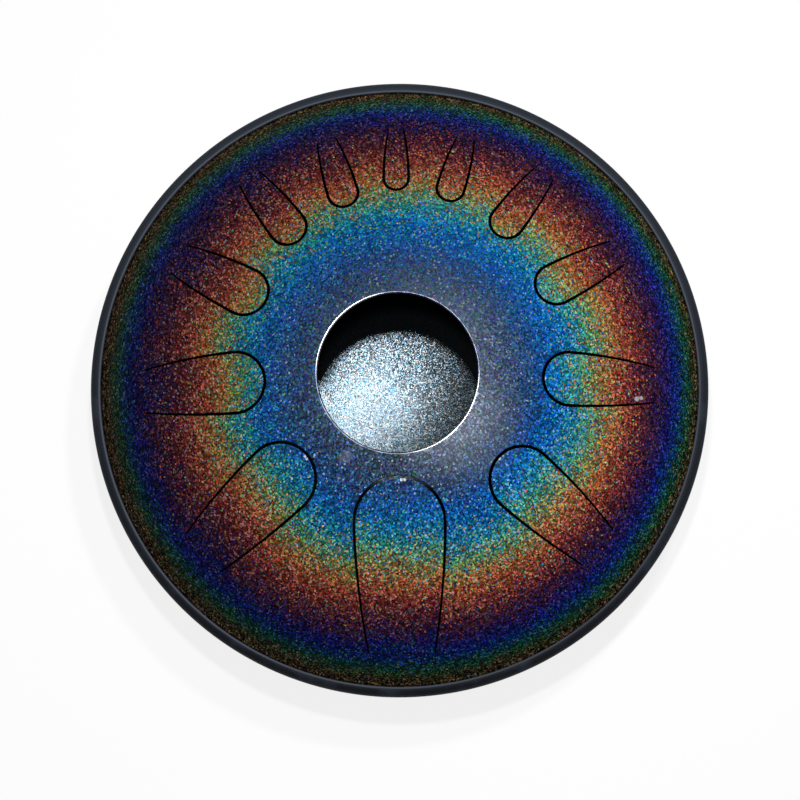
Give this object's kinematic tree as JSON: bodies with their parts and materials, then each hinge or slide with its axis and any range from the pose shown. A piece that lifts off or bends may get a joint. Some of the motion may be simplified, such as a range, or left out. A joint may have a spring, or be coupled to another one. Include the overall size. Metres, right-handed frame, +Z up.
{
  "type": "steel tongue drum",
  "caption": "Lens-shaped steel tongue drum with a round sound hole, slit-cut sprung tongues, rubber rim edging and rubber feet.",
  "frame": {"origin": "on the floor under the drum's axis, between the feet's soles", "axes": "+Z up along the drum's axis, the longest tongue towards -Y"},
  "size_m": [0.2996, 0.2996, 0.1113],
  "materials": {
    "lacquer": "dark holographic glitter lacquer with rainbow rings, glossy",
    "trim_rubber": "satin black rubber edging",
    "foot_rubber": "matte moulded rubber",
    "zinc_steel": "zinc-plated",
    "weld_metal": "as welded"
  },
  "bodies": {
    "drum": {"upper_shell": "lacquer", "lower_shell": "lacquer", "seam_weld": "weld_metal", "rim_trim": "trim_rubber", "foot_1": "foot_rubber", "foot_2": "foot_rubber", "foot_3": "foot_rubber", "foot_screws": "zinc_steel", "foot_washers": "zinc_steel", "nut_washers": "zinc_steel", "foot_nuts": "zinc_steel"},
    "tongue_01": {"tongue_01": "lacquer"},
    "tongue_02": {"tongue_02": "lacquer"},
    "tongue_03": {"tongue_03": "lacquer"},
    "tongue_04": {"tongue_04": "lacquer"},
    "tongue_05": {"tongue_05": "lacquer"},
    "tongue_06": {"tongue_06": "lacquer"},
    "tongue_07": {"tongue_07": "lacquer"},
    "tongue_08": {"tongue_08": "lacquer"},
    "tongue_09": {"tongue_09": "lacquer"},
    "tongue_10": {"tongue_10": "lacquer"},
    "tongue_11": {"tongue_11": "lacquer"},
    "tongue_12": {"tongue_12": "lacquer"}
  },
  "joints": [
    {"name": "tongue_01_flex", "type": "hinge", "parent": "drum", "child": "tongue_01", "pos_m": [0.00176, -0.12623, 0.0786], "axis": [0.9999, 0.014, 0], "range_deg": [-1.13, 1.13], "stiffness_Nm_per_rad": 187.3},
    {"name": "tongue_02_flex", "type": "hinge", "parent": "drum", "child": "tongue_02", "pos_m": [-0.08979, -0.08028, 0.08274], "axis": [0.6665, -0.7455, 0], "range_deg": [-0.93, 0.93], "stiffness_Nm_per_rad": 179.3},
    {"name": "tongue_03_flex", "type": "hinge", "parent": "drum", "child": "tongue_03", "pos_m": [0.092, -0.07775, 0.08274], "axis": [0.6455, 0.7638, 0], "range_deg": [-0.86, 0.86], "stiffness_Nm_per_rad": 176},
    {"name": "tongue_04_flex", "type": "hinge", "parent": "drum", "child": "tongue_04", "pos_m": [-0.11826, -0.00578, 0.08403], "axis": [0.0489, -0.9988, 0], "range_deg": [-0.82, 0.82], "stiffness_Nm_per_rad": 172.3},
    {"name": "tongue_05_flex", "type": "hinge", "parent": "drum", "child": "tongue_05", "pos_m": [0.11837, -0.00269, 0.08403], "axis": [0.0227, 0.9997, 0], "range_deg": [-0.73, 0.73], "stiffness_Nm_per_rad": 165.2},
    {"name": "tongue_06_flex", "type": "hinge", "parent": "drum", "child": "tongue_06", "pos_m": [-0.10301, 0.05663, 0.08453], "axis": [-0.4818, -0.8763, 0], "range_deg": [-0.68, 0.68], "stiffness_Nm_per_rad": 162.2},
    {"name": "tongue_07_flex", "type": "hinge", "parent": "drum", "child": "tongue_07", "pos_m": [0.10233, 0.05956, 0.08403], "axis": [-0.503, 0.8643, 0], "range_deg": [-0.62, 0.62], "stiffness_Nm_per_rad": 152.7},
    {"name": "tongue_08_flex", "type": "hinge", "parent": "drum", "child": "tongue_08", "pos_m": [-0.07026, 0.0953, 0.08403], "axis": [-0.8049, -0.5934, 0], "range_deg": [-0.57, 0.57], "stiffness_Nm_per_rad": 148.4},
    {"name": "tongue_09_flex", "type": "hinge", "parent": "drum", "child": "tongue_09", "pos_m": [0.06808, 0.09687, 0.08403], "axis": [-0.8181, 0.575, 0], "range_deg": [-0.54, 0.54], "stiffness_Nm_per_rad": 143.4},
    {"name": "tongue_10_flex", "type": "hinge", "parent": "drum", "child": "tongue_10", "pos_m": [-0.03402, 0.11341, 0.08403], "axis": [-0.9578, -0.2874, 0], "range_deg": [-0.5, 0.5], "stiffness_Nm_per_rad": 137.6},
    {"name": "tongue_11_flex", "type": "hinge", "parent": "drum", "child": "tongue_11", "pos_m": [0.03164, 0.11409, 0.08403], "axis": [-0.9636, 0.2672, 0], "range_deg": [-0.47, 0.47], "stiffness_Nm_per_rad": 135.4},
    {"name": "tongue_12_flex", "type": "hinge", "parent": "drum", "child": "tongue_12", "pos_m": [-0.00124, 0.11839, 0.08403], "axis": [-0.9999, -0.0105, 0], "range_deg": [-0.44, 0.44], "stiffness_Nm_per_rad": 129.6}
  ]
}
